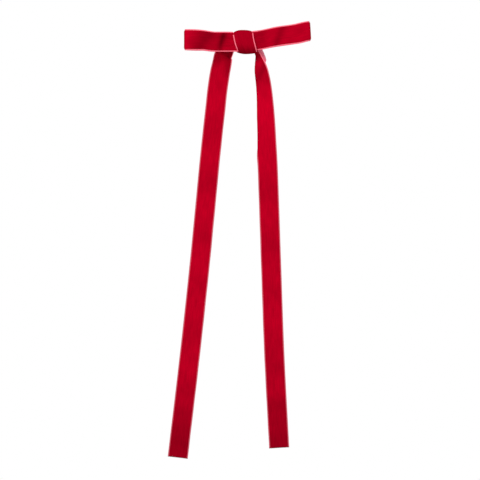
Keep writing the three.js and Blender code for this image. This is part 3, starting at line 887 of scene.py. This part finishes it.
def make_glue():
    """Hot glue pressed out between the knot and the lining, thick in the middle and lobed round its rim."""
    reach, height, middle_y = 5.5, 4.5, -1.86
    start_clean()
    bpy.ops.mesh.primitive_uv_sphere_add(segments=48, ring_count=24, radius=1)
    glue = bpy.context.object
    glue.name = glue.data.name = "glue_puddle"
    for vertex in glue.data.vertices:
        x, y, z = vertex.co
        round_place = math.atan2(z, x)
        lobes = 1 + 0.08 * math.sin(3 * round_place + 0.7) + 0.06 * math.sin(5 * round_place + 2)
        flat = 0.5 * math.copysign(min(abs(y) * 1.7, 1), y) + 0.03 * drift(x * 2, y * 2, z * 2)
        vertex.co = (reach * x * lobes * MM, (middle_y + flat) * MM, (CLIP_Z + height * z * lobes) * MM)
    merge_doubles(glue)
    smooth(glue, 60)
    give(glue, GLUE)
    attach(glue, "root")
    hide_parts("glue_pad")


def make_lining():
    """A strip of grosgrain glued along the flat jaw, with its corners cut round."""
    length, width, thick, corner = 54.0, 8.6, 0.45, 2.8
    middle_x, back_y = -4.5, -0.76
    start_clean()
    bpy.ops.mesh.primitive_grid_add(x_subdivisions=108, y_subdivisions=20, size=1)
    lining = bpy.context.object
    lining.name = lining.data.name = "lining_ribbon"
    for vertex in lining.data.vertices:
        x, y = vertex.co.x * length, vertex.co.y * width
        # Towards each end the strip narrows on the arc of its round corners.
        into = abs(x) - (length / 2 - corner)
        if into > 0:
            y *= (width / 2 - corner + math.sqrt(max(corner ** 2 - into ** 2, 0.01))) / (width / 2)
        lift = 0.06 * drift(x * 0.12, y * 0.2, 3.3)
        vertex.co = ((x + middle_x) * MM, (back_y - lift) * MM, (CLIP_Z + y) * MM)
    lining.data.update()
    apply_modifier(lining, "SOLIDIFY", thickness=thick * MM, offset=1.0)
    apply_modifier(lining, "BEVEL", width=0.1 * MM, segments=2, limit_method="ANGLE",
                   angle_limit=math.radians(60))
    smooth(lining, 40)
    give(lining, LINING)
    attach(lining, "root")
    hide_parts("clip_lining")


def pressed_jaw(name, node, body):
    """A pressed steel jaw with its sheared edges broken, as tumbling leaves them."""
    start_clean()
    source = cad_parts[node]
    source.select_set(True)
    bpy.context.view_layer.objects.active = source
    bpy.ops.object.duplicate()
    jaw = bpy.context.object
    jaw.name = jaw.data.name = name
    merge_doubles(jaw)
    apply_modifier(jaw, "BEVEL", width=0.09 * MM, segments=2, limit_method="ANGLE",
                   angle_limit=math.radians(35), use_clamp_overlap=True)
    smooth(jaw, 40)
    give(jaw, NICKEL)
    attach(jaw, body)
    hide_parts(node)


def make_rivet():
    """The hinge rivet: a shank with a domed head pressed on each end."""
    shank_radius, shank_end, head_edge, head_top = 0.8, 4.1, 4.42, 4.6
    head_spread, dome_share = 1.75, 0.6
    centre = (PIVOT_X * MM, PIVOT_Y * MM, CLIP_Z * MM)
    start_clean()
    bpy.ops.mesh.primitive_cylinder_add(
        vertices=40, radius=shank_radius * MM, depth=2 * shank_end * MM, location=centre)
    rivet = bpy.context.object
    rivet.name = rivet.data.name = "rivet_pin"
    bpy.ops.object.transform_apply(location=True, rotation=True, scale=True)
    bpy.ops.object.mode_set(mode="EDIT")
    bpy.ops.mesh.select_mode(type="FACE")
    bpy.ops.mesh.select_all(action="DESELECT")
    work = bmesh.from_edit_mesh(rivet.data)
    for face in work.faces:
        face.select = abs(face.normal.z) > 0.9
    bmesh.update_edit_mesh(rivet.data)
    bpy.ops.mesh.extrude_region_move()
    bpy.ops.transform.resize(value=(head_spread, head_spread, 1), center_override=centre)
    bpy.ops.mesh.extrude_region_move()
    bpy.ops.transform.resize(value=(1, 1, head_edge / shank_end), center_override=centre)
    bpy.ops.mesh.extrude_region_move()
    bpy.ops.transform.resize(value=(dome_share, dome_share, head_top / head_edge), center_override=centre)
    bpy.ops.object.mode_set(mode="OBJECT")
    apply_modifier(rivet, "BEVEL", width=0.1 * MM, segments=3, limit_method="ANGLE",
                   angle_limit=math.radians(30))
    smooth(rivet, 50)
    give(rivet, NICKEL)
    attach(rivet, "root")
    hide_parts("pivot_pin")


def make_spring():
    """A torsion spring: nearly three and a half turns round the rivet, and a straight leg along each jaw."""
    steps, full_turns, coil_half = 240, 4, 1.7
    lever_slope = math.atan2(LEVER_RISE, LEVER_RUN)
    # Each leg leans a few degrees towards its jaw.
    enter = -math.pi / 2 - math.radians(6.5)
    leave = math.pi / 2 + lever_slope + math.radians(3.7)
    coil = SPRING_RADIUS * (2 * math.pi * full_turns - (leave - enter))
    line = []
    for step in range(steps + 1):
        run = (coil + 2 * SPRING_LEG) * step / steps - SPRING_LEG
        on_coil = min(max(run, 0.0), coil)
        angle = enter - on_coil / SPRING_RADIUS
        beyond = run - on_coil
        line.append((PIVOT_X + SPRING_RADIUS * math.cos(angle) + beyond * math.sin(angle),
                     PIVOT_Y + SPRING_RADIUS * math.sin(angle) - beyond * math.cos(angle),
                     CLIP_Z + coil_half * (2 * on_coil / coil - 1)))
    spring = wire_piece("torsion_spring", line, WIRE / 2, SPRING)
    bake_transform(spring)
    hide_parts("jaw_spring")


VELVET = velvet_pile()
SELVEDGE_WEAVE = woven_selvedge()
SEALED = sealed_edge()
BACK = satin_back()
THREAD = sewing_thread()
GLUE = hot_melt()
LINING = grosgrain()
NICKEL = nickel_plate()
SPRING = spring_wire()

set_camera()
set_studio()
make_loops()
make_tails()
make_knot_wrap()
make_thread()
make_glue()
make_lining()
pressed_jaw("flat_jaw", "upper_jaw", "root")
pressed_jaw("toothed_jaw", "lower_jaw", "lower_jaw")
make_rivet()
make_spring()
